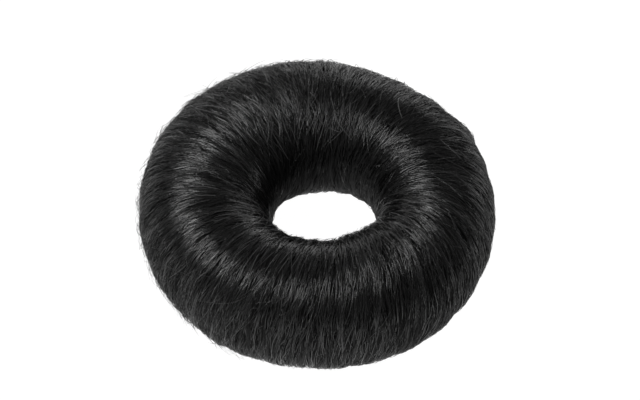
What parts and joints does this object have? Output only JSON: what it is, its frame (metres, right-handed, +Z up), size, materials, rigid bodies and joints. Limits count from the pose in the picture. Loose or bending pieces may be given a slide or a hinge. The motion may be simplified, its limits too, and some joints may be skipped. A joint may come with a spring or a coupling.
{
  "type": "top knot hairpiece ring",
  "caption": "Soft ring of wound black synthetic hair that a ponytail is drawn through and wrapped over to make a top knot.",
  "frame": {"origin": "on the resting surface, under the middle of the ring's bounding box", "axes": "+Z up along the axis of the hole, +X to the right and +Y away from the viewer of the picture"},
  "size_m": [0.0898, 0.0906, 0.0327],
  "materials": {
    "black_hair": "satin"
  },
  "bodies": {
    "root": {"hair_ring": "black_hair"}
  },
  "joints": []
}
